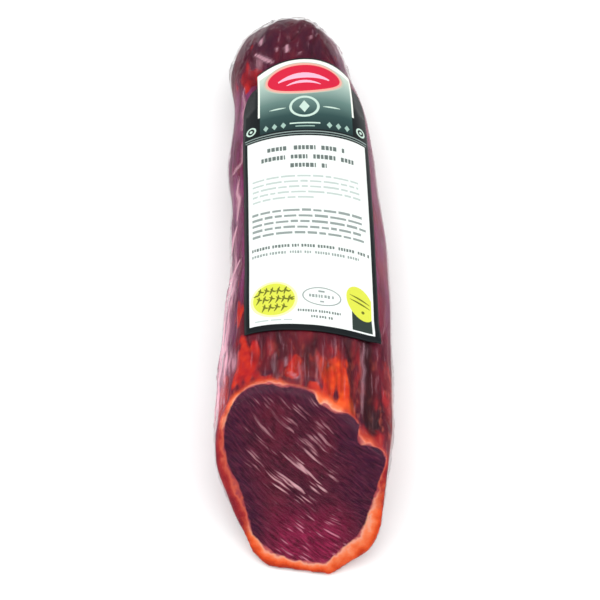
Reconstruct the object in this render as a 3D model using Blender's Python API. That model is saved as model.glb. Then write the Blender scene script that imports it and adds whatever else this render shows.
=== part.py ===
# Half a cured pork loin in clear vacuum film, with a paper label on top.
# The loin lies along Y with its slanted cut towards -Y, and rests on z = 0.
# Lengths in the tables of stations are in millimetres, all other lengths in metres.

from functools import lru_cache

import bpy
import bmesh
import numpy as np
from mathutils import Vector, noise

MM = 0.001

# Length and the slanted cut
LENGTH = 291 * MM
CUT_TILT = 1.20              # metres back for each metre up the cut
CUT_YAW = 0.15               # metres forward for each metre to the right
CUT_START = -2 * MM          # where the plane of the cut meets the floor
MIDDLE_HEIGHT = 27 * MM      # height of the middle of the cut face

# Rounded far end
END_START = 256 * MM
END_ROUNDNESS = 2.0
END_X = -8 * MM
END_Z = 23 * MM
PUCKERS = 7
PUCKER_DEPTH = 0.8 * MM
PUCKER_TURN = 0.8            # radians by which the puckers are turned
PUCKER_STOP = 4 * MM         # how far before the tip they are at their deepest

# Outline of the loin at stations along its length, as (place, value)
LEFT_SIDE = ((0, 37), (15, 34), (27, 36.2), (38, 40), (50, 40.5), (72, 39), (112, 36.4),
             (132, 34.0), (150, 34.6), (180, 34.0), (203, 35.6), (228, 33.8), (242, 33.6), (262, 37.5))
RIGHT_SIDE = ((0, 30), (6, 34.5), (11, 38), (18, 35), (26, 34.6), (38, 36.8), (56, 38.2), (112, 38),
              (158, 36.4), (181, 34.6), (204, 32.6), (228, 29.6), (240, 26.6), (252, 22), (264, 19.5))
TOP_HEIGHT = ((0, 51.5), (110, 51.5), (200, 48.5), (255, 45.5))
WAIST_HEIGHT = ((0, 33), (60, 32), (200, 26), (255, 23))
TOP_SKEW = ((0, 5.5), (110, 4.5), (180, 1), (240, -5))
SOFTENING = 7 * MM           # half of the stretch over which a station is averaged
SOFTENING_WEIGHTS = (0.2, 0.45, 0.7, 0.95, 1.2, 0.95, 0.7, 0.45, 0.2)
SHOULDER_ROUNDNESS = 2.0     # above the widest line of a section
BELLY_ROUNDNESS = 2.55       # below it
PRESSED = 1.3 * MM           # how far the underside is pressed flat

# Relief of the meat under the film
LUMP_HEIGHT = 1.7 * MM
LUMP_WIDTH = 34 * MM
LUMP_LENGTH = 62 * MM
LUMP_SHIFT = 3.7             # picks another stretch of the noise
FINE_SHARE = 0.38            # size of the fine lumps against the large ones
FINE_HEIGHT = 0.5            # height of the fine lumps against the large ones
EVENED = 0.85                # share of the lumps that is gone under the label
GROOVE_DEPTH = 2.2 * MM
GROOVE_WIDTH = 3.6 * MM
GROOVE_X = 28.5 * MM
GROOVE_END = 108 * MM
GROOVE_FADE = 20 * MM
TOP_SIDE = 26 * MM           # what lies above this height is the top of the loin
TOP_BLEND = 12 * MM          # how gently the sides turn into the top

# Rim round the cut face
RIM_TOP = 2.6 * MM
RIM_BOTTOM = 4.6 * MM
FACE_HOLLOW = 1.2 * MM
FACE_GRAIN = 0.5 * MM
FACE_GRAIN_SIZE = 11 * MM
RIM_SIDES = (-0.3, 0.5)      # sines of the angles between which the rim grows to its lower width
RIM_EARS = ((-128, 1.6), (-62, 1.4), (-39, 1.6))   # corners that stand out, as (degrees, height)
EAR_WIDTH = 6                                      # degrees

# Label, measured flat
LABEL_WIDTH = 62.5 * MM
LABEL_LENGTH = 158.5 * MM
LABEL_START = 93 * MM
LABEL_X = 3.6 * MM
LABEL_DRIFT = -0.028         # how far the label turns to the left along its length
LABEL_THICKNESS = 0.5 * MM
LABEL_GAP = 0.35 * MM
LABEL_SURROUND = (0.46, 0.62)    # even ground ends between these shares of the label's width
LABEL_MARGIN = 7 * MM        # and within this distance of its ends
LABEL_INSET = 2 * MM
HEADER_WIDTH = 45 * MM
STEP_START = 131 * MM        # the label narrows to its header between these two places
STEP_END = 150 * MM
ARCH_RISE = 5 * MM
ARCH_BLEND = 25 * MM         # the arch builds up from this far below the end of the narrowing

# Fineness of the meshes
AROUND = 76
BODY_RINGS = 33
END_RINGS = 9
RIM_RINGS = 4
FACE_SHARES = (0, 0.20, 0.42, 0.62, 0.80, 0.93)
LABEL_ACROSS = 14
LABEL_ALONG = 36
EDGE_SEARCH = (14, 0.6)      # steps towards the cut, and the share of the way that each one goes
OVER_TOP = (172, 8, 83)      # degrees from the left to the right over the top, and points between them
SHARP_ANGLE = 50             # degrees

MEAT_RED = (0.115, 0.009, 0.018)
PAPER_WHITE = (0.80, 0.79, 0.76)


def along(y, stations):
    """Value at y of a row of stations, with its corners softened."""
    places = [place * MM for place, _ in stations]
    values = [value * MM for _, value in stations]
    nearby = np.interp(y + np.linspace(-SOFTENING, SOFTENING, len(SOFTENING_WEIGHTS)), places, values)
    return float(np.average(nearby, weights=SOFTENING_WEIGHTS))


def soft_step(value, start, end):
    """Smooth rise from 0 at start to 1 at end."""
    part = min(max((value - start) / (end - start), 0), 1)
    return part * part * (3 - 2 * part)


@lru_cache(maxsize=None)
def section_sizes(y):
    """Left, right, top, waist and skew of the section at y."""
    return [along(y, stations) for stations in (LEFT_SIDE, RIGHT_SIDE, TOP_HEIGHT, WAIST_HEIGHT, TOP_SKEW)]


def end_closing(y):
    """How much of the section is left at y: 1 along the loin, 0 at the tip of its far end."""
    part = min(max((y - END_START) / (LENGTH - END_START), 0), 1)
    return (1 - part ** END_ROUNDNESS) ** (1 / END_ROUNDNESS)


def label_middle(y):
    return LABEL_X + LABEL_DRIFT * (y - LABEL_START)


def label_cover(x, y):
    """1 under the label and 0 away from it, so that the label lies on an even surface."""
    inner, outer = (LABEL_WIDTH * share for share in LABEL_SURROUND)
    side = soft_step(abs(x - label_middle(y)), outer, inner)
    front = soft_step(y, LABEL_START - LABEL_MARGIN, LABEL_START + LABEL_INSET)
    back = soft_step(y, LABEL_START + LABEL_LENGTH + LABEL_MARGIN, LABEL_START + LABEL_LENGTH)
    return side * front * back


def relief(x, y, z, turn):
    """Lumps of the meat, the long groove on the right and the puckers of the far end."""
    place = Vector((x / LUMP_WIDTH, y / LUMP_LENGTH, z / LUMP_WIDTH))
    lumps = noise.noise(place + Vector((0, 0, LUMP_SHIFT))) + FINE_HEIGHT * noise.noise(place / FINE_SHARE)
    puckers = PUCKER_DEPTH * np.sin(PUCKERS * turn + PUCKER_TURN)
    puckers *= soft_step(y, END_START, LENGTH - PUCKER_STOP)
    on_top = soft_step(z, TOP_SIDE - TOP_BLEND / 2, TOP_SIDE + TOP_BLEND / 2)
    groove = GROOVE_DEPTH * on_top * np.exp(-((x - GROOVE_X) / GROOVE_WIDTH) ** 2)
    groove *= soft_step(y, GROOVE_END, GROOVE_END - GROOVE_FADE)
    return lumps * LUMP_HEIGHT * (1 - EVENED * on_top * label_cover(x, y)) + puckers - groove


def rounded(value, roundness):
    """A sine or cosine bent so that its circle turns into a fuller outline."""
    return np.sign(value) * abs(value) ** (2 / roundness)


def section_point(y, turn):
    """Point of the loin's surface at y, at an angle round it from +X over the top."""
    left, right, top, waist, skew = section_sizes(y)
    cosine, sine = np.cos(turn), np.sin(turn)
    on_top = sine > 0
    roundness = SHOULDER_ROUNDNESS if on_top else BELLY_ROUNDNESS
    across, up = rounded(cosine, roundness), rounded(sine, roundness)
    x = (right - left) / 2 + (left + right) / 2 * across
    z = waist + (top - waist) * up - skew * across * up if on_top else waist + (waist + PRESSED) * up
    closing = end_closing(y)
    x = END_X + (x - END_X) * closing
    z = END_Z + (z - END_Z) * closing
    bump = relief(x, y, z, turn) * closing
    return Vector((x + bump * cosine, y, max(z + bump * sine, 0)))


def cut_y(x, z):
    """Where the plane of the cut lies for the point (x, z) of a section."""
    return CUT_START + CUT_TILT * z - CUT_YAW * x


@lru_cache(maxsize=None)
def edge_place(turn):
    """y at which the loin's surface meets the cut, found by stepping towards the plane."""
    steps, share = EDGE_SEARCH
    y = cut_y(0, MIDDLE_HEIGHT)
    for _ in range(steps):
        point = section_point(y, turn)
        y += share * (cut_y(point.x, point.z) - y)
    return y


def ear_height(turn):
    """Small corners where the film and the rind stand out of the rim."""
    degrees = np.degrees(turn)
    return sum(height * MM * np.exp(-((degrees - place) / EAR_WIDTH) ** 2) for place, height in RIM_EARS)


def face_point(share, border):
    """Point of the cut face on the way from its middle, at 0, to a point of its border, at 1."""
    x = border.x * share
    z = MIDDLE_HEIGHT + (border.z - MIDDLE_HEIGHT) * share
    hollow = FACE_HOLLOW * (1 - share ** 2)
    grain = FACE_GRAIN * noise.noise(Vector((x, z, 0)) / FACE_GRAIN_SIZE) * (1 - share)
    return Vector((x, cut_y(x, z) + hollow + grain, z))


def sack_point(turn, ring):
    """Point of the closed surface: ring counts from the middle of the cut face to the far tip."""
    edge_y = edge_place(turn)
    edge = section_point(edge_y, turn) + Vector((np.cos(turn), 0, np.sin(turn))) * ear_height(turn)
    edge.z = max(edge.z, 0)
    width = RIM_TOP + (RIM_BOTTOM - RIM_TOP) * soft_step(-np.sin(turn), *RIM_SIDES)
    middle = Vector((0, cut_y(0, MIDDLE_HEIGHT), MIDDLE_HEIGHT))
    border = edge + (middle - edge).normalized() * width
    if ring < len(FACE_SHARES):
        return face_point(FACE_SHARES[ring], border)
    ring -= len(FACE_SHARES)
    if ring <= RIM_RINGS:
        step = ring / RIM_RINGS
        back = section_point(edge_y + width, turn)
        point = border * (1 - step) ** 2 + edge * (2 * step * (1 - step)) + back * step ** 2
        point.z = max(point.z, 0)
        return point
    ring -= RIM_RINGS
    start = edge_y + width
    if ring <= BODY_RINGS:
        return section_point(start + (END_START - start) * ring / BODY_RINGS, turn)
    share = np.sin((ring - BODY_RINGS) / END_RINGS * np.pi / 2)
    return section_point(END_START + (LENGTH - END_START) * share, turn)


def add_object(name, bm, colour, roughness):
    """Make an object from a mesh and give it a plain material."""
    bmesh.ops.recalc_face_normals(bm, faces=bm.faces)
    bmesh.ops.triangulate(bm, faces=bm.faces)
    mesh = bpy.data.meshes.new(name)
    bm.to_mesh(mesh)
    bm.free()
    material = bpy.data.materials.new(name + "_finish")
    material.use_nodes = True
    shader = material.node_tree.nodes["Principled BSDF"]
    shader.inputs["Base Color"].default_value = (*colour, 1)
    shader.inputs["Roughness"].default_value = roughness
    shader.inputs["Metallic"].default_value = 0
    mesh.materials.append(material)
    mesh.shade_smooth()
    mesh.set_sharp_from_angle(angle=np.radians(SHARP_ANGLE))
    item = bpy.data.objects.new(name, mesh)
    bpy.context.scene.collection.objects.link(item)
    return item


def make_loin():
    """A grid is rolled into a closed sack: its seam is welded and both ends shrink to a point."""
    rings = len(FACE_SHARES) + RIM_RINGS + BODY_RINGS + END_RINGS
    bm = bmesh.new()
    bmesh.ops.create_grid(bm, x_segments=AROUND, y_segments=rings, size=0.5)
    for vert in bm.verts:
        step = round((vert.co.x + 0.5) * AROUND) % AROUND
        vert.co = sack_point(step / AROUND * 2 * np.pi - np.pi, round((vert.co.y + 0.5) * rings))
    bmesh.ops.remove_doubles(bm, verts=bm.verts, dist=0.005 * MM)
    return add_object("packed_loin", bm, MEAT_RED, 0.25)


def label_half_width(t):
    """Half of the label's width at a distance t from its lower edge."""
    part = min(max((t - STEP_START) / (STEP_END - STEP_START), 0), 1)
    return HEADER_WIDTH / 2 + (LABEL_WIDTH - HEADER_WIDTH) / 2 * np.sqrt(1 - part ** 2)


@lru_cache(maxsize=None)
def over_the_top(y):
    """Points of a section over its top, with their distance round it from the label's middle."""
    points = [section_point(y, turn) for turn in np.radians(np.linspace(*OVER_TOP))]
    distances = np.cumsum([0] + [(b - a).length for a, b in zip(points, points[1:])])
    distances -= np.interp(label_middle(y), [point.x for point in points], distances)
    return np.array(points), distances


def label_point(side, t):
    """Place on the loin and outward direction for a point of the label, side from -1 to 1."""
    arch = ARCH_RISE * side ** 2 * soft_step(t, STEP_END - ARCH_BLEND, LABEL_LENGTH)
    points, distances = over_the_top(LABEL_START + t - arch)
    distance = side * label_half_width(t)
    place, beside = (Vector([np.interp(reach, distances, points[:, axis]) for axis in range(3)])
                     for reach in (distance, distance + MM))
    return place, (beside - place).cross(Vector((0, 1, 0))).normalized()


def make_label():
    """A grid is laid over the top of the loin, and a copy of it lifted by the paper's thickness."""
    bm = bmesh.new()
    bmesh.ops.create_grid(bm, x_segments=LABEL_ACROSS, y_segments=LABEL_ALONG, size=0.5)
    outward = {}
    for vert in bm.verts:
        place, normal = label_point(vert.co.x * 2, (vert.co.y + 0.5) * LABEL_LENGTH)
        vert.co = place + normal * LABEL_GAP
        outward[vert.co.copy().freeze()] = normal
    lifted = bmesh.ops.extrude_face_region(bm, geom=bm.faces[:])
    for vert in lifted["geom"]:
        if isinstance(vert, bmesh.types.BMVert):
            vert.co += outward[vert.co.copy().freeze()] * LABEL_THICKNESS
    return add_object("label", bm, PAPER_WHITE, 0.45)


def centre_on_footprint(items):
    """Move the meshes so that the origin is under the middle of the whole."""
    corners = np.array([vert.co for item in items for vert in item.data.vertices])
    middle = Vector((corners.min(axis=0) + corners.max(axis=0)) / 2)
    for item in items:
        for vert in item.data.vertices:
            vert.co -= Vector((middle.x, middle.y, 0))


for old in list(bpy.data.objects):
    bpy.data.objects.remove(old)
centre_on_footprint([make_loin(), make_label()])
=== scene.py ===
# %% [markdown]
# # Half of a cured pork loin in vacuum film
#
# The real thing is a long cured loin, cut on a slant, with marbled meat on the cut, a thin rim of fat and a
# rind coated with paprika. Clear film is shrunk tight over it, and a printed paper label lies on top. Three
# pieces are modelled here: the meat, the film and the label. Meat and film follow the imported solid, and the
# label bends over them.

# %% Load the frame
import math
import random

import bmesh
import bpy
import numpy as np
from mathutils import Matrix, Vector, noise
from mathutils.bvhtree import BVHTree
from mathutils.geometry import delaunay_2d_cdt


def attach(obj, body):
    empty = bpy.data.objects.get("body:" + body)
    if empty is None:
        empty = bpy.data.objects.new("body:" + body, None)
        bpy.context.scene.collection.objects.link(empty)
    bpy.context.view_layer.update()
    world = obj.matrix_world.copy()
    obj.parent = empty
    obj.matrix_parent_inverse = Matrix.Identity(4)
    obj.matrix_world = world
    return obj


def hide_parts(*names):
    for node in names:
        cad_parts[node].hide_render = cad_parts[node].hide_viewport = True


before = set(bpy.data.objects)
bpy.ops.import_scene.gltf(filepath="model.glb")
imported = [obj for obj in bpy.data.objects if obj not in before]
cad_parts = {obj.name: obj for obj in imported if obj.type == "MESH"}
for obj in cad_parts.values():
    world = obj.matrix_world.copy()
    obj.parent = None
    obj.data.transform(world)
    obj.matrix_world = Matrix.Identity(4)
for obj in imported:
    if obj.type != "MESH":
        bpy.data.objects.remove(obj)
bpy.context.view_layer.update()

MM = 0.001

# %% [markdown]
# Colours are easier to read as the hex values of a paint program. Cycles works with linear light, so one
# function turns hex into linear numbers. A node tree is long to write by hand, so one more function adds a
# node with its settings and links. Two more start a material and an object.

# %% Colours and nodes
def hex_colour(text):
    """A colour such as 7a2445 as linear red, green, blue and alpha."""
    parts = [int(text[i:i + 2], 16) / 255 for i in (0, 2, 4)]
    linear = [part / 12.92 if part <= 0.04045 else ((part + 0.055) / 1.055) ** 2.4 for part in parts]
    return (*linear, 1)


def add_node(tree, kind, inputs=None, out=0, stops=None, **settings):
    """Add a node and return one output. An input takes a number, a colour or the output linked to it."""
    node = tree.nodes.new("ShaderNode" + kind)
    for name, value in settings.items():
        setattr(node, name, value)
    for name, value in (inputs or {}).items():
        if isinstance(value, bpy.types.NodeSocket):
            tree.links.new(value, node.inputs[name])
        else:
            node.inputs[name].default_value = value
    for i, (place, colour) in enumerate(stops or ()):
        stop = node.color_ramp.elements.new(place) if i > 1 else node.color_ramp.elements[i]
        stop.position = place
        stop.color = hex_colour(colour)
    return node.outputs[out] if node.outputs else node


RGBA = {"out": 2, "data_type": "RGBA"}              # makes a Mix node mix colours
SMOOTH = {"interpolation_type": "SMOOTHSTEP"}       # makes a MapRange node ease in and out


def new_material(name):
    """An empty node-based material and its output node."""
    material = bpy.data.materials.new(name)
    material.use_nodes = True
    material.node_tree.nodes.clear()
    return material, material.node_tree, add_node(material.node_tree, "OutputMaterial")


def add_object(name, data):
    """A new object in the scene, which holds a mesh, a lamp or a camera."""
    thing = bpy.data.objects.new(name, data)
    bpy.context.scene.collection.objects.link(thing)
    return thing


print("wine red in linear light:", [round(value, 3) for value in hex_colour("5f2233")])

# %% [markdown]
# The photograph looks along the loin from 55 degrees above the floor. A long lens from 1.5 m gives the same
# slight narrowing towards the far end. The camera stays level from side to side, so it only needs a tilt
# about X.

# %% Camera
ELEVATION = math.radians(55)
DISTANCE = 1.5
AIM = Vector((-1.96, -16.5, 25)) * MM
LENS, SENSOR = 199.1, 36        # mm

camera = add_object("camera", bpy.data.cameras.new("camera"))
camera.data.lens = LENS
camera.data.sensor_width = SENSOR
camera.location = AIM + Vector((0, -math.cos(ELEVATION), math.sin(ELEVATION))) * DISTANCE
camera.rotation_euler = (math.pi / 2 - ELEVATION, 0, 0)
bpy.context.scene.camera = camera
print("camera at", [round(value, 3) for value in camera.location])

# %% [markdown]
# A packshot on white has soft light from all sides and hardly any shadow. Clear film mirrors every lamp, so
# a small lamp would leave a bright band on the edge of the cut. A very broad one hangs overhead, and two
# strips stand low at the sides, where the film's folds catch them. The room is darker near the floor than
# above, so that the sides of the film don't mirror white. The floor is a sheet of matt opal acrylic, lit a
# little from below as on a light table, which keeps the shadow weak.

# %% Lights and floor
FLOOR_REACH = 3                 # m to each side
FLOOR_DROP = 0.3 * MM           # keeps the floor clear of the flat underside
LAMPS = (
    # name, place in m, size in m, power in W
    ("overhead", (0.0, -0.1, 1.1), 1.5, 9.5),
    ("left_strip", (-0.95, -0.1, 0.4), 0.6, 4),
    ("right_strip", (0.95, -0.1, 0.5), 0.6, 4),
)
for name, place, size, power in LAMPS:
    lamp = bpy.data.lights.new(name, "AREA")
    lamp.size = size
    lamp.energy = power
    holder = add_object(name, lamp)
    holder.location = place
    holder.rotation_euler = (-Vector(place)).to_track_quat("-Z", "Y").to_euler()

world = bpy.data.worlds.new("studio")
bpy.context.scene.world = world
world.use_nodes = True
tree = world.node_tree
tree.nodes["Background"].inputs["Color"].default_value = (1, 1, 1, 1)
height = add_node(tree, "SeparateXYZ", {0: add_node(tree, "TexCoord", out="Generated")}, out="Z")
glow = add_node(tree, "MapRange", {"Value": height, "From Max": 0.6, "To Min": 0.3, "To Max": 0.56})
tree.links.new(glow, tree.nodes["Background"].inputs["Strength"])
bpy.context.scene.view_settings.view_transform = "Standard"

floor_material, tree, output = new_material("opal_acrylic_light_table")
flecks = add_node(tree, "TexNoise", {"Scale": 900.0, "Detail": 2.0})
tint = add_node(tree, "ValToRGB", {"Fac": flecks}, stops=((0.0, "f6f6f6"), (1.0, "fbfbfb")))
surface = add_node(tree, "BsdfPrincipled", {"Base Color": tint, "Roughness": 0.9, "Emission Strength": 0.12,
                                            "Emission Color": (1, 1, 1, 1)})
tree.links.new(surface, output.inputs["Surface"])

bm = bmesh.new()
bmesh.ops.create_grid(bm, x_segments=1, y_segments=1, size=FLOOR_REACH)
bmesh.ops.translate(bm, verts=bm.verts, vec=(0, 0, -FLOOR_DROP))
mesh = bpy.data.meshes.new("floor")
bm.to_mesh(mesh)
bm.free()
mesh.materials.append(floor_material)
floor = add_object("floor", mesh)
print("lamps:", len(LAMPS))

# %% [markdown]
# Meat and film follow the same body. The solid has large flat triangles, so its copy is merged, remeshed
# into small even squares and smoothed. Sculpting by hand could do the same, but a remesh keeps to the solid
# and gives small even faces, which hold wrinkles of a few millimetres.

# %% A fine smooth copy of the solid
MEAT_VOXEL, FILM_VOXEL = 1.05 * MM, 1.25 * MM
SMOOTHING = 10                  # rounds, which take away the steps that a remesh leaves


def merged_copy(node):
    """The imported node's triangles, welded into one closed mesh."""
    bm = bmesh.new()
    bm.from_mesh(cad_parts[node].data)
    bmesh.ops.remove_doubles(bm, verts=bm.verts, dist=0.01 * MM)
    return bm


def fine_copy(node, voxel):
    """A bmesh of even small faces over the node's shape."""
    bm = merged_copy(node)
    mesh = bpy.data.meshes.new("rough")
    bm.to_mesh(mesh)
    bm.free()
    holder = add_object("rough", mesh)
    remesh = holder.modifiers.new("even_faces", "REMESH")
    remesh.mode = "VOXEL"
    remesh.voxel_size = voxel
    smooth = holder.modifiers.new("soft", "SMOOTH")
    smooth.factor = 0.5
    smooth.iterations = SMOOTHING
    graph = bpy.context.evaluated_depsgraph_get()
    fine = bpy.data.meshes.new_from_object(holder.evaluated_get(graph))
    bpy.data.objects.remove(holder)
    bm = bmesh.new()
    bm.from_mesh(fine)
    bm.normal_update()
    return bm


meat_mesh = fine_copy("packed_loin", MEAT_VOXEL)
film_mesh = fine_copy("packed_loin", FILM_VOXEL)
smooth_tree = BVHTree.FromBMesh(film_mesh)
print("faces of the meat:", len(meat_mesh.faces), "and of the film:", len(film_mesh.faces))

# %% [markdown]
# The patterns need to know where a point lies. On the cut, that is its distance and direction from the
# middle of the cut, measured in the plane of the cut. The rim is where the distance comes near to the
# loin's own outline there, which a cut through the solid with bisect_plane gives.

# %% Places on the cut
CUT_TOE = -0.146726             # m along the loin, where the plane of the cut meets the floor
HALF_HEIGHT = 0.027             # m, half the loin's height at the cut
CUT_SLOPE = 1.2                 # along the loin for each step up
RING_DEPTH = 3.2                # mm behind the cut, where its outline is taken
CUT_NORMAL = Vector((-0.15, -1, CUT_SLOPE)).normalized()
CUT_MIDDLE = Vector((0, CUT_TOE + CUT_SLOPE * HALF_HEIGHT, HALF_HEIGHT))
UP_THE_CUT = Vector((0, CUT_SLOPE, 1)).normalized()
ACROSS_THE_CUT = UP_THE_CUT.cross(CUT_NORMAL)


def cut_places(points):
    """Across, up and depth of points against the cut, in mm, and their direction in degrees and distance."""
    away = (points - np.array(CUT_MIDDLE)) / MM
    across, up = away @ np.array(ACROSS_THE_CUT), away @ np.array(UP_THE_CUT)
    return across, up, -away @ np.array(CUT_NORMAL), np.degrees(np.arctan2(up, across)), np.hypot(across, up)


bm = merged_copy("packed_loin")
sliced = bmesh.ops.bisect_plane(bm, geom=bm.verts[:] + bm.edges[:] + bm.faces[:], dist=0.001 * MM,
                                plane_co=CUT_MIDDLE - CUT_NORMAL * RING_DEPTH * MM, plane_no=CUT_NORMAL)
ring = np.array([item.co for item in sliced["geom_cut"] if isinstance(item, bmesh.types.BMVert)])
bm.free()
_, _, _, ring_angle, ring_distance = cut_places(ring)
order = np.argsort(ring_angle)
ring_angle, ring_distance = ring_angle[order], ring_distance[order]
print("the cut is", round(ring_distance.min(), 1), "to", round(ring_distance.max(), 1), "mm from its middle")

# %% [markdown]
# Widths, depths and strengths change along the loin and round the cut. Five small functions give them: one
# reads them off a short list of places, one fades them in and out, one makes bumps, one makes thin folds
# and one makes soft spots.

# %% Numbers along a line, and noise
def between(value, stations, period=None):
    """Value read off a list of (place, number)."""
    places, numbers = zip(*stations)
    return np.interp(value, places, numbers, period=period)


def soft_step(value, start, end):
    """Smooth rise from 0 at start to 1 at end."""
    part = np.clip((value - start) / (end - start), 0, 1)
    return part * part * (3 - 2 * part)


def ripple(points, size, shift):
    """Even noise from about -1 to 1 with bumps as large as size, in mm along x, y and z."""
    scaled = points / MM / np.array(size) + shift
    return np.array([noise.noise(Vector(place)) for place in scaled]) * 1.6


def thin_folds(points, size, shift, spread):
    """Ridges from 0 to 1 where even noise crosses zero. A larger spread makes them broader."""
    return np.clip(1 - np.abs(ripple(points, size, shift)) / spread, 0, 1)


def spot(points, centre, reach):
    """1 at the centre and 0 beyond reach, both in mm along x, y and z."""
    return np.exp(-(((points / MM - np.array(centre)) / np.array(reach)) ** 2).sum(axis=1) * 1.4)


# %% [markdown]
# The rind isn't smooth: drying draws it into lengthwise creases, with a long groove at the right, and at
# the left the meat keeps away from the folds of the film. Real creases could be sculpted. Here each point
# is pushed inwards along its normal by a sum of noise that is stretched along the loin and of a few creases
# with named places, which is quick and stays inside the film.

# %% Creases, rim and label
LABEL_START, LABEL_LENGTH = -51.8, 158.5        # mm, along y
LABEL_EDGE = (38, 29)           # mm from its middle line, where its cover ends and where it is full
LABEL_LOWEST = 15               # mm above the floor
CORE_HEIGHT = 26                # mm above the floor, of the loin's long middle line
CREASES = (
    # x, from y, to y, width, depth, all in mm
    (-12.5, -80, -50, 1.5, 1.1),
    (-8.2, -84, -56, 1.2, 0.8),
    (1.5, -84, -60, 1.2, 0.8),
    (5.2, -72, -50, 1.0, 0.6),
    (11.4, -90, -64, 0.9, 0.8),
    (16.4, -84, -60, 0.8, 0.6),
    (20.8, -94, -52, 1.3, 1.2),
    (28.5, -100, -40, 2.4, 1.5),
)
RIM_WIDTHS = (                  # direction in degrees, width in mm
    (-180, 8), (-165, 7), (-150, 6), (-134, 3.2), (-117, 5.8), (-98, 3.4), (-78, 3.8), (-64, 6.5),
    (-51, 8.2), (-39, 8), (-14, 5), (4, 3.2), (17, 1.2), (25, 2.5), (33, 7), (40, 5), (46, 1.3), (58, 1.6),
    (66, 5.5), (80, 6), (84, 2.4), (96, 2.4), (103, 3.8), (110, 2.6), (126, 1.8), (137, 3.5), (155, 5),
    (169, 6.5),
)
VEIL_MIDDLE = (                 # mm along the loin, degrees round it
    (-100, 164), (-60, 161), (-20, 164), (-5, 160), (8, 154), (20, 148), (60, 145), (100, 146),
)
VEIL_WIDTH = (                  # mm along the loin, width in degrees
    (-100, 13), (-60, 15), (-20, 12), (0, 10), (10, 8), (60, 8), (100, 9),
)


def label_middle(y):
    """Where the label's long middle line lies across the loin, in mm: it leans a little to the left."""
    return 4.3 - 0.028 * (y - LABEL_START)


def under_label(points):
    """1 under the label and 0 away from it."""
    x, y = points[:, 0] / MM, points[:, 1] / MM
    end = LABEL_START + LABEL_LENGTH
    width = soft_step(np.abs(x - label_middle(y)), *LABEL_EDGE) * (points[:, 2] > LABEL_LOWEST * MM)
    return width * soft_step(y, LABEL_START - 5, LABEL_START + 3) * soft_step(y, end + 5, end - 4)


def side_angle(points):
    """Direction of a point round the loin's long middle line: 0 at the right, 90 on top, 180 at the left."""
    return np.degrees(np.arctan2(points[:, 2] / MM - CORE_HEIGHT, points[:, 0] / MM)) % 360


def left_veil(points):
    """1 in the band at the left where the film stands off the meat."""
    y = points[:, 1] / MM
    wave = 5 * ripple(points, (60, 16, 60), 3.1)
    away = np.abs(side_angle(points) + wave - between(y, VEIL_MIDDLE)) / between(y, VEIL_WIDTH)
    return soft_step(away, 1.25, 0.45) * soft_step(y, -96, -78) * soft_step(y, 116, 98)


print("creases:", len(CREASES), "and places round the rim:", len(RIM_WIDTHS))

# %% [markdown]
# The creases, the noise and the gap at the left are added up for each point of the mesh, and the point goes
# in by that much. Other ways, such as a Displace modifier for each, would need a texture for each. The cut
# is only a little uneven, and under the label the meat stays smooth.

# %% Pressing the meat in
BACK_OF_CUT = 6                 # mm behind the plane of the cut, where its own patterns end
TIGHT_GAP = 0.3                 # mm from the smooth shape to the meat, where nothing else is added
LEAST_GAP = 0.25                # mm
FOLD_DEPTH = 0.9                # mm, thin creases all over the rind
HOLLOW_DEPTH = 0.8              # mm, broad hollows
VEIL_GAP = 2.6                  # mm, where the film stands off at the left
PUCKER_DEPTH = 0.8              # mm, at the far end
CREASED_FROM = 30               # mm above the floor

points = np.array([vert.co for vert in meat_mesh.verts])
across, up, depth, angle, distance = cut_places(points)
y = points[:, 1] / MM
outline = np.interp(angle, ring_angle, ring_distance, period=360)
rim_width = between(angle, RIM_WIDTHS, 360)
rim_depth = distance - (outline - rim_width)
on_cut = soft_step(rim_depth, 1.0, -0.5) * (depth < BACK_OF_CUT)
behind = soft_step(depth, 1.5, 6)
skin = (1 - under_label(points)) * behind * (1 - on_cut)

crease = np.zeros(len(points))
for x, start, end, width, fall in CREASES:
    wander = 1.1 * ripple(points, (40, 14, 40), x)
    line = np.exp(-(((points[:, 0] / MM - x - wander) / width) ** 2))
    length = soft_step(y, start - 3, start + 4) * soft_step(y, end + 3, end - 4)
    crease = np.maximum(crease, line * length * fall * (points[:, 2] > CREASED_FROM * MM))
folds = thin_folds(points, (9, 34, 9), 7.7, 0.28)
hollows = soft_step(ripple(points, (26, 60, 26), 1.3), 0.0, 0.9)
inward = TIGHT_GAP + skin * (crease + FOLD_DEPTH * folds ** 2 + HOLLOW_DEPTH * hollows)
inward += VEIL_GAP * left_veil(points) * behind
inward += on_cut * (0.35 + 0.25 * ripple(points, (5, 5, 5), 2.2))
inward += soft_step(y, 108, 140) * PUCKER_DEPTH * np.abs(ripple(points, (11, 30, 11), 4.4))
for vert, fall in zip(meat_mesh.verts, inward):
    vert.co -= vert.normal * max(fall, LEAST_GAP) * MM
print("the meat lies up to", round(inward.max(), 2), "mm inside the smooth shape")

# %% [markdown]
# Paprika and rendered fat colour the rind unevenly: clear orange and red patches beside the cut, wine red
# and purple elsewhere. The patches could be painted by hand. A few soft spots with named places, broken up
# by noise, do the same and are stored on the points as attributes, which the material reads. The streaks of
# fat follow wide arcs across the cut, so each point also gets its place along and across those arcs, and
# how marbled the meat is there.

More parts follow.
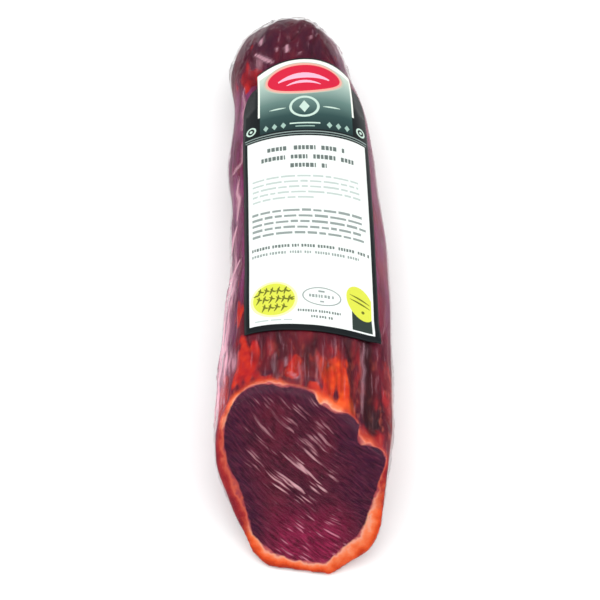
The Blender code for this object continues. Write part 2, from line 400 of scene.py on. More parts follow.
# %% Patches and the marbling's direction
PATCHES = (
    # centre and reach in mm, share of orange against red
    ((-26, -66, 47), (10, 19, 10), 0.42),
    ((-30, -36, 43), (5, 11, 7), 0.5),
    ((13.5, -74, 48), (9, 16, 9), 0.75),
    ((16, -89, 46), (9, 8, 8), 1.0),
    ((28.5, -99, 40), (6, 9, 6), 0.15),
    ((-5, -72, 52), (4.5, 8, 7), 0.5),
    ((3, -81, 50), (6, 6, 7), 0.45),
    ((-16, -80, 51), (8, 6, 8), 0.4),
    ((-36, -78, 31), (6, 17, 12), 0.35),
    ((-27, 103, 36), (9, 7, 8), 0.05),
)
GRAIN_CENTRE = (130, 165)       # mm across and up the cut: the streaks are arcs about this far point
MARBLED_FROM = ((-12, -12), (-4, -14), (4, -24), (12, -28), (36, -25))      # mm up the cut, mm across
MARBLED_TO = ((-12, 4), (-6, 8), (0, 14), (20, 14), (36, 10))
patch = np.zeros(len(points))
orange_share, weight = np.zeros(len(points)), np.full(len(points), 0.05)
breakup = 0.32 * ripple(points, (4.5, 13, 4.5), 5.5) + 0.2 * ripple(points, (2, 5, 2), 9.1)
for centre, reach, share in PATCHES:
    strength = soft_step(spot(points, centre, reach) + breakup * 0.9, 0.12, 0.85)
    orange_share += strength * share
    weight += strength
    patch = np.maximum(patch, strength)

grain_x, grain_y = across - GRAIN_CENTRE[0], up - GRAIN_CENTRE[1]
grain_radius = np.hypot(grain_x, grain_y)
along_grain = np.arctan2(grain_y, grain_x) % (2 * math.pi) * math.hypot(*GRAIN_CENTRE)
left_end, right_end = between(up, MARBLED_FROM), between(up, MARBLED_TO)
band = soft_step(across, left_end - 4, left_end + 3) * soft_step(across, right_end + 4, right_end - 3)
band *= soft_step(up, -14, -8) * soft_step(up, 40, 34)
band *= 0.52 + 0.48 * np.exp(-((across + 2) / 15) ** 2 - ((up + 2) / 13) ** 2)
low = soft_step(across, -23, -6) * soft_step(across, 26, 12) * soft_step(up, -3, -25)
print("points with paprika:", int((patch > 0.5).sum()), "and with streaks of fat:", int((band > 0.5).sum()))

# %% [markdown]
# Two jobs come back for every piece. Numbers are stored on its points for the material to read, and the
# finished mesh becomes an object that rides on the frame and stands for its solid.

# %% Stored numbers and finished pieces
def store(mesh, name, values):
    """Keep one number or vector for each point of the mesh."""
    values = np.asarray(values, dtype=np.float32)
    kind = "FLOAT_VECTOR" if values.ndim == 2 else "FLOAT"
    attribute = mesh.attributes.new(name, kind, "POINT")
    attribute.data.foreach_set("vector" if values.ndim == 2 else "value", values.ravel())


def finish_piece(name, bm, material, slot_name, *nodes):
    """Make the object, let it ride on the frame and stand for its nodes."""
    mesh = bpy.data.meshes.new(name)
    bm.to_mesh(mesh)
    bm.free()
    mesh.materials.append(material)
    mesh.shade_smooth()
    piece = add_object(name, mesh)
    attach(piece, "root")
    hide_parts(*nodes)
    print(name, "has", sum(len(face.vertices) - 2 for face in mesh.polygons), "triangles")
    return piece


print("points of the meat that will hold numbers:", len(points))

# %% [markdown]
# ## The meat's finish
#
# Cured lean pork is wine red to purple and slightly see-through, with pinkish white streaks of fat that run
# one way. The streaks could be painted by hand. Here they are Voronoi cells stretched along the grain: each
# cell holds one streak, and a random number per cell sets its size and leaves some cells empty, so the
# streaks stay apart as they do on the real cut.

# %% Streaks of fat
meat_material, tree, output = new_material("cured_pork_with_paprika_rind")
place = add_node(tree, "TexCoord", out="Object")
along_loin = add_node(tree, "Mapping", {"Vector": place, "Scale": (1, 0.4, 1)})
grain = add_node(tree, "Attribute", out="Vector", attribute_name="grain")
stored = {name: add_node(tree, "Attribute", out="Fac", attribute_name=name)
          for name in ("marbling", "low_marbling", "purple", "reflected_mauve", "warm", "orange", "paprika", "shade",
                       "rim", "rim_share", "red_rim", "behind_cut", "fade")}
wobble = add_node(tree, "TexNoise", {"Vector": grain, "Scale": 0.08, "Detail": 2.0}, out="Color")
shift = add_node(tree, "VectorMath", {0: wobble, 1: (0.5, 0.5, 0.5)}, operation="SUBTRACT")
shift = add_node(tree, "VectorMath", {0: shift, 1: (7.0, 3.0, 0)}, operation="MULTIPLY")
bent_grain = add_node(tree, "VectorMath", {0: grain, 1: shift}, operation="ADD")


def streaks(length, width, share, seed):
    """Mask of slim streaks. Length and width of a cell in mm, share of the cells that hold a streak."""
    cell = add_node(tree, "Mapping", {"Vector": bent_grain, "Location": (seed, seed, 0),
                                      "Scale": (1 / length, 1 / width, 1)})
    luck = add_node(tree, "TexVoronoi", {"Vector": cell, "Scale": 1.0, "Randomness": 0.9}, out="Color",
                    voronoi_dimensions="2D")
    reach = add_node(tree, "MapRange", {"Value": add_node(tree, "SeparateColor", {"Color": luck}),
                                        "From Min": 1 - share, "From Max": 1, "To Min": 0.16, "To Max": 0.56})
    inside = add_node(tree, "Math", {0: reach, 1: luck.node.outputs["Distance"]}, operation="SUBTRACT")
    return add_node(tree, "MapRange", {"Value": inside, "From Min": 0.0, "From Max": 0.36}, **SMOOTH)


masks = [add_node(tree, "Math", {0: streaks(*sizes), 1: stored[zone]}, operation="MULTIPLY")
         for sizes, zone in (((26, 1.9, 0.92, 3.3), "marbling"), ((16, 1.5, 0.85, 11.1), "marbling"),
                             ((10, 1.3, 0.9, 7.7), "low_marbling"))]
white = masks[0]
for mask in masks[1:]:
    white = add_node(tree, "Math", {0: white, 1: mask}, operation="MAXIMUM")
drawn_out = add_node(tree, "Mapping", {"Vector": bent_grain, "Scale": (0.14, 0.5, 1)})
uneven = add_node(tree, "TexNoise", {"Vector": drawn_out, "Scale": 1.0, "Detail": 3.0})
uneven = add_node(tree, "MapRange", {"Value": uneven, "From Min": 0.22, "From Max": 0.56, "To Min": 0.15})
white = add_node(tree, "Math", {0: white, 1: uneven}, operation="MULTIPLY")
print("nodes for the streaks:", len(tree.nodes))

# %% [markdown]
# The lean meat itself isn't one red: it is brownish in the middle, purple where it has dried at the right
# and magenta at the bottom, and fine fibres run through it. Each is a colour that is mixed over the last
# one, from soft clouds to fine fibres, as a painter would lay them.

# %% Lean meat
clouds = add_node(tree, "TexNoise", {"Vector": place, "Scale": 1 / (14 * MM), "Detail": 3.0})
clouds = add_node(tree, "MapRange", {"Value": clouds, "From Min": 0.32, "From Max": 0.68})
mottle = add_node(tree, "TexNoise", {"Vector": place, "Scale": 1 / (2.4 * MM), "Detail": 4.0})
mottle = add_node(tree, "MapRange", {"Value": mottle, "From Min": 0.42, "From Max": 0.64, "To Max": 0.5})
lean = add_node(tree, "Mix", {0: clouds, 6: hex_colour("3e0c25"), 7: hex_colour("62162c")}, **RGBA)
for share, colour in ((stored["purple"], "390b2e"), (stored["low_marbling"], "701036"), (mottle, "280818")):
    lean = add_node(tree, "Mix", {0: share, 6: lean, 7: hex_colour(colour)}, **RGBA)

fine_grain = add_node(tree, "Mapping", {"Vector": bent_grain, "Scale": (0.18, 1.1, 1)})
fibre = add_node(tree, "TexNoise", {"Vector": fine_grain, "Scale": 1.0, "Detail": 4.0})
fibre = add_node(tree, "MapRange", {"Value": fibre, "From Min": 0.4, "From Max": 0.7})
fibre_share = add_node(tree, "Math", {0: stored["low_marbling"], 1: 0.2, 2: 0.55}, operation="MULTIPLY_ADD")
fibre_share = add_node(tree, "Math", {0: fibre, 1: fibre_share}, operation="MULTIPLY")
fibre_colour, fat_light = [
    add_node(tree, "Mix", {0: stored["low_marbling"], 6: hex_colour(middle), 7: hex_colour(bottom)}, **RGBA)
    for middle, bottom in (("7d3049", "b4305c"), ("dfb0b6", "d8809c"))]
fat_depth = add_node(tree, "MapRange", {"Value": white, "From Min": 0.2, "From Max": 0.95})
fat_streak = add_node(tree, "Mix", {0: fat_depth, 6: hex_colour("8a4256"), 7: fat_light}, **RGBA)
fat_edge = add_node(tree, "MapRange", {"Value": white, "From Min": 0.04, "From Max": 0.72}, **SMOOTH)
for share, colour in ((fibre_share, fibre_colour), (fat_edge, fat_streak)):
    lean = add_node(tree, "Mix", {0: share, 6: lean, 7: colour}, **RGBA)
print("nodes with the lean meat:", len(tree.nodes))

# %% [markdown]
# The fat round the cut is stained by paprika: pale at the meat, bright orange in the middle, and brownish
# red towards the rind. Where little fat is left it is plain red. Two colour ramps over the share of the
# rim's width give both, and noise shifts them so that the bands wander.

# %% Fat round the cut
wander = add_node(tree, "TexNoise", {"Vector": place, "Scale": 1 / (5 * MM), "Detail": 4.0})
wander = add_node(tree, "Math", {0: wander, 1: 0.66, 2: -0.33}, operation="MULTIPLY_ADD")
rim_place = add_node(tree, "Math", {0: stored["rim_share"], 1: 0.5, 2: wander}, operation="MULTIPLY_ADD")
orange_fat = add_node(tree, "ValToRGB", {"Fac": rim_place}, stops=(
    (0.0, "c25c60"), (0.08, "f4ab90"), (0.17, "f98858"), (0.34, "f0602c"), (0.5, "d0421a"), (0.7, "9a2a1c"),
    (1.0, "701d24")))
red_fat = add_node(tree, "ValToRGB", {"Fac": rim_place}, stops=(
    (0.0, "a8404a"), (0.1, "d4604a"), (0.22, "b03030"), (0.4, "8a1c2a"), (0.7, "6e1626"), (1.0, "5c1a28")))
redness = add_node(tree, "TexNoise", {"Vector": place, "Scale": 1 / (7 * MM), "Detail": 3.0})
redness = add_node(tree, "Math", {0: redness, 1: 0.9, 2: stored["red_rim"]}, operation="MULTIPLY_ADD")
redness = add_node(tree, "MapRange", {"Value": redness, "From Min": 0.64, "From Max": 1.05})
fat = add_node(tree, "Mix", {0: redness, 6: orange_fat, 7: red_fat}, **RGBA)
print("nodes with the fat:", len(tree.nodes))

# %% [markdown]
# The rind has dried to wine red and purple, with a rough coat of paprika. Its noise is drawn out along the
# loin, as the muscle shrinks that way. Purple, a painted mauve reflection on the flanks, warm red and
# painted pale highlights on the ridges are laid over the base colour one after another.

# %% Bare rind
tone = add_node(tree, "TexNoise", {"Vector": along_loin, "Scale": 1 / (12 * MM), "Detail": 3.0})
rind = add_node(tree, "ValToRGB", {"Fac": tone}, stops=(
    (0.3, "320e1c"), (0.46, "571425"), (0.6, "6e1a28"), (0.8, "8c2a2e")))
purple_share = add_node(tree, "Math", {0: stored["purple"], 1: 0.65}, operation="MULTIPLY")
# Painted reflection: streaky mauve on the flanks, where the film mirrors the bright room.
far_along = add_node(tree, "Mapping", {"Vector": place, "Scale": (1, 0.14, 1)})
reflected_mauve = add_node(tree, "TexNoise", {"Vector": far_along, "Scale": 1 / (2.8 * MM), "Detail": 4.0})
reflected_mauve = add_node(tree, "MapRange", {"Value": reflected_mauve, "From Min": 0.36, "From Max": 0.62, "To Min": 0.12})
reflected_mauve = add_node(tree, "Math", {0: stored["reflected_mauve"], 1: reflected_mauve}, operation="MULTIPLY")
warmth = add_node(tree, "TexNoise", {"Vector": along_loin, "Scale": 1 / (5 * MM), "Detail": 4.0})
warmth = add_node(tree, "MapRange", {"Value": warmth, "From Min": 0.44, "From Max": 0.68}, **SMOOTH)
warmth = add_node(tree, "Math", {0: warmth, 1: stored["warm"]}, operation="MULTIPLY")
# Painted highlights: pale salmon lines along the ridges of the warm rind beside the cut.
salmon_highlights = add_node(tree, "TexNoise", {"Vector": along_loin, "Scale": 1 / (2.2 * MM), "Detail": 3.0})
salmon_highlights = add_node(tree, "MapRange", {"Value": salmon_highlights, "From Min": 0.56, "From Max": 0.74, "To Max": 0.6})
salmon_highlights = add_node(tree, "Math", {0: salmon_highlights, 1: stored["warm"]}, operation="MULTIPLY")
for share, colour in ((purple_share, "40132f"), (reflected_mauve, "823868"), (warmth, "a3242a"), (salmon_highlights, "cc5c4a")):
    rind = add_node(tree, "Mix", {0: share, 6: rind, 7: hex_colour(colour)}, **RGBA)
print("nodes with the bare rind:", len(tree.nodes))

# %% [markdown]
# Paprika goes over the bare rind. The bright patches come from their attribute, frayed by a finer noise,
# and run from deep red to orange. Small crumbs of spice lie over all of it, and painted shade darkens the
# creases and folds. Small crumbs of spice lie over all of it, and creases are dark inside.

# %% Paprika and crumbs of spice
patch_tone = add_node(tree, "TexNoise", {"Vector": place, "Scale": 1 / (4 * MM), "Detail": 4.0})
patch_tone = add_node(tree, "Math", {0: patch_tone, 1: 1.0, 2: stored["orange"]}, operation="MULTIPLY_ADD")
patch_tone = add_node(tree, "Math", {0: patch_tone, 1: 0.5}, operation="SUBTRACT")
patch_colour = add_node(tree, "ValToRGB", {"Fac": patch_tone}, stops=(
    (0.0, "7e1424"), (0.35, "b41e20"), (0.7, "d53a1a"), (1.0, "ee5c20")))
frayed = add_node(tree, "TexNoise", {"Vector": along_loin, "Scale": 1 / (3.2 * MM), "Detail": 4.0})
paprika = add_node(tree, "Math", {0: frayed, 1: 0.8, 2: stored["paprika"]}, operation="MULTIPLY_ADD")
paprika = add_node(tree, "MapRange", {"Value": paprika, "From Min": 0.6, "From Max": 1.1}, **SMOOTH)
crumbs = add_node(tree, "TexNoise", {"Vector": place, "Scale": 1 / (0.9 * MM), "Detail": 2.0})
crumbs = add_node(tree, "MapRange", {"Value": crumbs, "From Min": 0.66, "From Max": 0.74})
crumb_share = add_node(tree, "Math", {0: crumbs, 1: 0.35}, operation="MULTIPLY")
# Painted shade: the last colour, by the stored shade, darkens the creases and folds.
for share, colour in ((paprika, patch_colour), (crumb_share, hex_colour("a83427")),
                      (stored["shade"], hex_colour("2a0d16"))):
    rind = add_node(tree, "Mix", {0: share, 6: rind, 7: colour}, **RGBA)
print("nodes with the rind:", len(tree.nodes))

# %% [markdown]
# Lean, fat and rind are one surface, so one material holds all three and mixes them by the stored
# distances. Only a low gloss is set, as the film in front gives the shine. A little light goes into the
# meat and comes out red, which softens the edges of the streaks.

# %% Meat's surface
fade = add_node(tree, "MapRange", {"Value": stored["fade"], "From Min": 0.1, "From Max": 1.0}, **SMOOTH)
outside = add_node(tree, "Mix", {0: fade, 6: fat, 7: rind}, **RGBA)
border = add_node(tree, "TexNoise", {"Vector": place, "Scale": 1 / (2.6 * MM), "Detail": 3.0})
border = add_node(tree, "Math", {0: border, 1: 1.6, 2: stored["rim"]}, operation="MULTIPLY_ADD")
lean_share = add_node(tree, "MapRange", {"Value": border, "From Min": 1.25, "From Max": 0.35}, **SMOOTH)
near_cut = add_node(tree, "MapRange", {"Value": stored["behind_cut"], "From Min": 7.0, "From Max": 5.0})
lean_share = add_node(tree, "Math", {0: lean_share, 1: near_cut}, operation="MULTIPLY")
colour = add_node(tree, "Mix", {0: lean_share, 6: outside, 7: lean}, **RGBA)

dull = add_node(tree, "TexNoise", {"Vector": place, "Scale": 1 / (2.2 * MM), "Detail": 3.0})
dull = add_node(tree, "MapRange", {"Value": dull, "To Min": 0.34, "To Max": 0.56})
lumps = add_node(tree, "TexNoise", {"Vector": along_loin, "Scale": 1 / (2.4 * MM), "Detail": 4.0})
lumps = add_node(tree, "Bump", {"Height": lumps, "Strength": 0.35, "Distance": 0.5 * MM})
pits = add_node(tree, "Math", {0: white, 1: -0.6, 2: crumbs}, operation="MULTIPLY_ADD")
pits = add_node(tree, "Bump", {"Height": pits, "Strength": 0.3, "Distance": 0.12 * MM, "Normal": lumps})
surface = add_node(tree, "BsdfPrincipled", {
    "Base Color": colour, "Roughness": dull, "Normal": pits, "Specular IOR Level": 0.12,
    "Subsurface Weight": 0.12, "Subsurface Scale": 1.6 * MM, "Subsurface Radius": (1.0, 0.35, 0.25)})
tree.links.new(surface, output.inputs["Surface"])
print("nodes in the meat's material:", len(tree.nodes))

# %% [markdown]
# The last numbers say where the rim is red instead of orange, where the rind is purple or warm, where a
# painted mauve reflection lies on its flanks, and where painted shade darkens its creases and folds. They
# are stored on the points of the mesh under the names that the material reads.

# %% The meat
# Each table has directions round the cut in degrees, with a share or a width in mm.
RED_RIM = (
    (-180, 0.8), (-160, 0.8), (-145, 0.6), (-130, 0.1), (-60, 0), (-30, 0.1), (-10, 0.45), (10, 0.75),
    (22, 0.8), (34, 0.5), (48, 0.7), (60, 0.6), (66, 0), (80, 0), (88, 0.4), (98, 0.5), (106, 0.2),
    (122, 0.3), (134, 0.1), (146, 0.5), (160, 0.65), (172, 0.7),
)
PURPLE_ROUND = (
    (-180, 0.95), (-135, 0.95), (-112, 0.2), (-70, 0), (-48, 0.5), (-20, 0.9), (40, 1), (70, 0.7), (120, 0.8),
    (160, 1),
)
PURPLE_REACH = ((-180, 24), (-120, 16), (-50, 14), (-15, 30), (35, 30), (62, 16), (110, 15), (150, 22))
FAT_BEHIND = ((-180, 6), (-60, 7), (0, 5), (60, 4), (80, 4), (90, 3), (104, 5), (128, 5), (140, 4), (170, 5))

side = side_angle(points)
reach = between(angle, PURPLE_REACH, 360)
purple_cut = soft_step(outline - distance, reach, reach * 0.35) * between(angle, PURPLE_ROUND, 360)
# Painted reflection: the rind is tinted mauve on both flanks, where the film mirrors the bright room.
right_mauve = soft_step(side, 55, 25) * soft_step(y, -70, -20) * (points[:, 0] > 0)
left_edge = between(y, ((-40, 152), (-5, 132)))
left_mauve = soft_step(side, left_edge - 8, left_edge + 8) * soft_step(side, 215, 190) * soft_step(y, 112, 92)
mauve_place = np.maximum(right_mauve * 0.65, left_mauve * 0.95)
purple_rind = np.maximum(soft_step(y, 70, 125), left_mauve * 0.9)
meat_values = {
    "rim": rim_depth,
    "rim_share": np.clip(rim_depth / np.maximum(rim_width, 1), -0.5, 2),
    "behind_cut": depth,
    "fade": depth / between(angle, FAT_BEHIND, 360),
    "red_rim": between(angle, RED_RIM, 360),
    "paprika": patch,
    "orange": orange_share / weight,
    "reflected_mauve": mauve_place,
    "purple": np.where(depth < BACK_OF_CUT, np.clip(purple_cut, 0, 1), purple_rind),
    "warm": soft_step(y, -50, -66) * (1 - mauve_place) * 0.85 + 0.12,
    # painted shade: darker in the creases and in the thin folds of the rind
    "shade": np.clip(crease * 0.6 + 0.45 * folds ** 2 * skin, 0, 0.85),
    "marbling": band,
    "low_marbling": low,
    "grain": np.column_stack([along_grain, grain_radius, np.zeros(len(points))]),
}
meat = finish_piece("loin_meat", meat_mesh, meat_material, "packed_loin", "packed_loin")
for name, values in meat_values.items():
    store(meat.data, name, values)
print("numbers stored on the meat:", len(meat_values))

# %% [markdown]
# ## The film
#
# Vacuum film is a clear, glossy plastic about 0.1 mm thick. It lies tight on the meat, but it bridges
# hollows and gathers into thin lengthwise folds at the left side and at the far end. A cloth simulation
# could draw it tight. As the film touches the meat nearly everywhere, its own fine copy of the solid, with
# folds pushed out of it, looks the same and is always the same. One closed surface without thickness is
# enough for it.

# %% Folds of the film
TIGHT_HEIGHT = 0.12             # mm off the smooth shape, where the film lies tight on the meat
PLEAT_HEIGHT, VEIL_HEIGHT = 0.25, 0.7       # mm, of the long folds, and of more of them in the veil
CUT_HEIGHT, END_HEIGHT = 0.45, 0.75         # mm, of the short folds beside the cut and at the far end

points = np.array([vert.co for vert in film_mesh.verts])
depth = cut_places(points)[2]
veil = left_veil(points)
y = points[:, 1] / MM
pleats = thin_folds(points, (7, 60, 7), 21.0, 0.4)
short_folds = thin_folds(points, (5, 14, 5), 33.0, 0.3)
beside_cut = soft_step(depth, 1.5, 6) * soft_step(y, -45, -60)
far_end = soft_step(y, 104, 122)
free = (1 - under_label(points)) * soft_step(depth, 0.5, 4)
outward = free * (TIGHT_HEIGHT + PLEAT_HEIGHT * pleats ** 2 + VEIL_HEIGHT * veil * pleats
                  + (CUT_HEIGHT * beside_cut + END_HEIGHT * far_end) * short_folds ** 2)
for vert, rise in zip(film_mesh.verts, outward):
    vert.co += vert.normal * rise * MM
    vert.co.z = max(vert.co.z, 0)
print("folds stand out by up to", round(outward.max(), 2), "mm")

# %% [markdown]
# A few sharp creases catch the light as short bright lines, at the far end, along the left side and beside
# the cut. These are painted highlights: they are too thin for the mesh, so each is a line between two places
# seen from above, and the points near it are marked for the material, which paints them pale.

# %% Bright creases
GLINTS_ABOVE = 28               # mm from the floor: no line is drawn lower
GLINTS = (
    # from, to (mm across and along the loin), width in mm, strength
    ((-20, 119), (-19.5, 124), 0.9, 0.7),
    ((-8, 112), (-7.6, 115.5), 1.0, 0.8),
    ((-12.6, 113), (-12.4, 115), 0.7, 0.5),
    ((-23, 114), (-15, 106.6), 1.0, 0.85),
    ((2.3, 120), (3.2, 123), 0.7, 0.4),
    ((-3, 109), (-2, 111.5), 0.6, 0.35),
    ((-28, 98), (-28.5, 72), 0.8, 0.45),
    ((-27.5, 66), (-29, 50), 0.8, 0.5),
    ((-28.8, 51), (-32.6, 47), 0.9, 0.5),
    ((-30.2, 44), (-30, 17), 0.75, 0.75),
    ((-30.6, 16), (-33, 2.5), 0.75, 0.85),
    ((-32, -1.5), (-35.2, -11), 0.6, 0.8),
    ((-29.2, -5), (-34.8, -16), 0.65, 0.9),
    ((-30, -14), (-33.5, -22), 0.55, 0.6),
    ((-8.6, -66), (-7.4, -71), 0.7, 0.35),
    ((-6.4, -74), (-3.2, -78.5), 0.8, 0.4),
    ((-13.2, -60), (-11.2, -82), 0.5, 0.22),
    ((4.6, -58), (6.4, -82), 0.5, 0.22),
    ((25.8, -52), (25.2, -90), 0.8, 0.30),
    ((34.5, -50), (36.5, -20), 0.7, 0.18),
)


def near_line(points, start, end, width):
    """1 on the line, seen from above, tapering to both ends, and 0 beyond its width or on the underside."""
    start, way = np.array(start), np.array(end) - np.array(start)
    flat = points[:, :2] / MM - start
    share = np.clip(flat @ way / (way @ way), 0, 1)
    slim = width * (0.35 + 0.65 * np.sin(np.pi * share))
    away = np.linalg.norm(flat - share[:, None] * way, axis=1)
    return np.exp(-(away / slim) ** 2) * (points[:, 2] > GLINTS_ABOVE * MM)


bend = np.column_stack([ripple(points, (7, 7, 7), shift) for shift in (12.0, 15.0, 18.0)]) * 0.7 * MM
# Painted highlights: the points near each bright crease are marked, and the film's material paints them pale.
glints = np.zeros(len(points))
for start, end, width, strength in GLINTS:
    glints = np.maximum(glints, near_line(points + bend, start, end, width) * strength)
print("bright creases:", len(GLINTS))

# %% [markdown]
# The film is clear where it touches the meat, so most of it is a Transparent shader with the mirror of a
# plastic surface on top, weighed by Fresnel. Where it stands off or creases, a painted sheen stands in for
# the film's reflections of the bright room: a little pale pink Diffuse and Translucent is mixed in there, by
# attributes and by noise drawn out along the folds.

# %% Material of the film
film_material, tree, output = new_material("clear_shrink_film")
place = add_node(tree, "TexCoord", out="Object")
drawn_out = add_node(tree, "Mapping", {"Vector": place, "Scale": (1, 0.08, 1)})
sheen_streaks = add_node(tree, "TexNoise", {"Vector": drawn_out, "Scale": 1 / (2.4 * MM), "Detail": 4.0})
sheen_streaks = add_node(tree, "MapRange", {"Value": sheen_streaks, "From Min": 0.4, "From Max": 0.66,
                                           "To Min": 0.15, "To Max": 1.25}, **SMOOTH)
highlight_lines = add_node(tree, "TexNoise", {"Vector": drawn_out, "Scale": 1 / (1.3 * MM), "Detail": 2.0})
highlight_lines = add_node(tree, "MapRange", {"Value": highlight_lines, "From Min": 0.58, "From Max": 0.72,
                                         "To Max": 0.17})
# Painted sheen: pale pink where the film mirrors the room, at the left, at the right, along thin wrinkles and
# on the creases.
painted_sheen = add_node(tree, "Attribute", out="Fac", attribute_name="glints")
for zone, strength in (("veil", sheen_streaks), ("reflected_mauve", 0.12), ("lines", highlight_lines)):
    amount = add_node(tree, "Attribute", out="Fac", attribute_name=zone)
    amount = add_node(tree, "Math", {0: amount, 1: strength}, operation="MULTIPLY")
    painted_sheen = add_node(tree, "Math", {0: painted_sheen, 1: amount}, operation="MAXIMUM")
painted_sheen = add_node(tree, "Math", {0: painted_sheen, 1: 0.92}, operation="MULTIPLY", use_clamp=True)

folded = add_node(tree, "Mapping", {"Vector": place, "Scale": (1, 0.2, 1)})
folded = add_node(tree, "TexNoise", {"Vector": folded, "Scale": 1 / (3.2 * MM), "Detail": 3.0})
folded = add_node(tree, "Bump", {"Height": folded, "Strength": 0.25, "Distance": 0.4 * MM})
gloss = add_node(tree, "BsdfGlossy", {"Color": (1, 1, 1, 1), "Roughness": 0.14, "Normal": folded})
clear = add_node(tree, "BsdfTransparent")
sheen_diffuse = add_node(tree, "BsdfDiffuse", {"Color": hex_colour("f8bed0")})
through = add_node(tree, "BsdfTranslucent", {"Color": hex_colour("f4b4cc")})
sheen_shader = add_node(tree, "MixShader", {0: 0.25, 1: sheen_diffuse, 2: through})
body = add_node(tree, "MixShader", {0: painted_sheen, 1: clear, 2: sheen_shader})
mirror = add_node(tree, "Fresnel", {"IOR": 1.24, "Normal": folded})
mirror = add_node(tree, "Math", {0: mirror, 1: 0.5}, operation="MULTIPLY")
surface = add_node(tree, "MixShader", {0: mirror, 1: body, 2: gloss})
tree.links.new(surface, output.inputs["Surface"])
print("nodes in the film's material:", len(tree.nodes))

# %% [markdown]
# The film gets its own stored numbers: how much painted sheen it has at the left, where a painted reflection
# lies at the right, and where painted highlights lie along thin lines and on the bright creases. The material
# reads them by the names used here.

# %% The film
# Painted reflection at the right, painted highlights along thin lines and on the creases, painted sheen at
# the left.
right_reflection = soft_step(side_angle(points), 48, 20) * soft_step(y, -60, 10) * (points[:, 0] > 0)
highlight_places = np.clip(beside_cut + far_end + 0.4 * soft_step(side_angle(points), 60, 40), 0, 1) * free
left_sheen = veil * free * (1 + 0.25 * soft_step(y, -46, -62))
film = finish_piece("vacuum_film", film_mesh, film_material, "packed_loin", "packed_loin")
for name, values in {"veil": left_sheen, "reflected_mauve": right_reflection, "lines": highlight_places, "glints": glints}.items():
    store(film.data, name, values)

# %% [markdown]
# ## The label
#
# The label is coated paper with a black border, a dark header and a white field with rows of small print.
# The print is drawn with plain shapes: bars for words, an oval, rings and lozenges. An image texture would
# be the usual way. Here each shape is an outline in flat millimetres, and one triangulation of all outlines
# gives crisp edges and a face for each patch of ink.

# %% Outlines in flat millimetres
HALF_WIDTH = 31.25
HEADER_HALF = 22.5
SHOULDER_LOW, SHOULDER_HEIGHT = 130.6, 15.2
FIELD = (-28.6, 28.6, 3.3, 111.0)           # left, right, low, high
shapes = []                     # (ink, points) from the lowest to the topmost


def draw(ink, corners):
    """Keep an outline, turned anticlockwise, with a corner at least every 2 mm so that it can bend."""
    corners = [Vector(corner) for corner in corners]
    following = corners[1:] + corners[:1]
    if sum(a.cross(b) for a, b in zip(corners, following)) < 0:
        corners.reverse()
        following = corners[1:] + corners[:1]
    dense = []
    for a, b in zip(corners, following):
        pieces = max(1, math.ceil((b - a).length / 2))
        dense += [a.lerp(b, step / pieces) for step in range(pieces)]
    shapes.append((ink, dense))


def rectangle(ink, left, right, low, high):
    draw(ink, ((left, low), (right, low), (right, high), (left, high)))


def ellipse(ink, middle, half_width, half_height, turn=0.0, steps=40):
    """An ellipse, turned by degrees."""
    corners = []
    for step in range(steps):
        at = math.radians(360 * step / steps)
        corner = Vector((half_width * math.cos(at), half_height * math.sin(at)))
        corner.rotate(Matrix.Rotation(math.radians(turn), 2))
        corners.append(corner + Vector(middle))
    draw(ink, corners)


def arched_top(half, side_top, rise, steps=24):
    """Points from the right to the left over an arch."""
    shares = [1 - 2 * i / steps for i in range(steps + 1)]
    return [(half * share, side_top + rise * (1 - share ** 2)) for share in shares]


def shoulder(side):
    """The narrowing from the full width to the header, bottom to top. Side is 1 at the right, -1 at left."""
    parts = [i / 12 for i in range(13)]
    wider = HALF_WIDTH - HEADER_HALF
    return [(side * (HEADER_HALF + wider * math.sqrt(1 - part ** 2)), SHOULDER_LOW + SHOULDER_HEIGHT * part)
            for part in parts]


top = shoulder(1) + arched_top(HEADER_HALF, 153.5, 5) + shoulder(-1)[::-1]
draw("black", [(-HALF_WIDTH, 0), (HALF_WIDTH, 0)] + top)
rectangle("white", *FIELD)
print("outline of the label has", len(shapes[0][1]), "corners")

# %% [markdown]
# The header needs a few more shapes: a stroke that swells in the middle as if drawn with a brush, the
# arched panel, and a lozenge.

# %% Strokes, panels and lozenges
def stroke(ink, start, middle, end, width, steps=10):
    """A slim leaf-shaped stroke along a bent line."""
    start, middle, end = Vector(start), Vector(middle), Vector(end)
    left, right = [], []
    for step in range(steps + 1):
        share = step / steps
        place = start * (1 - share) ** 2 + middle * 2 * share * (1 - share) + end * share ** 2
        heading = (middle - start) * (1 - share) + (end - middle) * share
        swell = width / 2 * (0.25 + 0.75 * math.sin(math.pi * share))
        side = Vector((-heading.y, heading.x)).normalized() * swell
        left.append(place + side)
        right.append(place - side)
    draw(ink, left + right[::-1])


def header_panel(half, low, side_top, rise):
    return [(-half, low), (half, low)] + arched_top(half, side_top, rise)


def lozenge(ink, x, y, half_width, half_height):
    draw(ink, ((x - half_width, y), (x, y - half_height), (x + half_width, y), (x, y + half_height)))


print("corners of a panel:", len(header_panel(23.0, 126, 152.4, 5.2)))

# %% [markdown]
# The header is an arched panel with a pale edge. A red oval with two pink strokes stands in it. Below come
# a ring round a lozenge with a slim stroke at each side, and two short rules between rows of small
# lozenges. A small ring stands at each side of the header, and two long rules close it off.

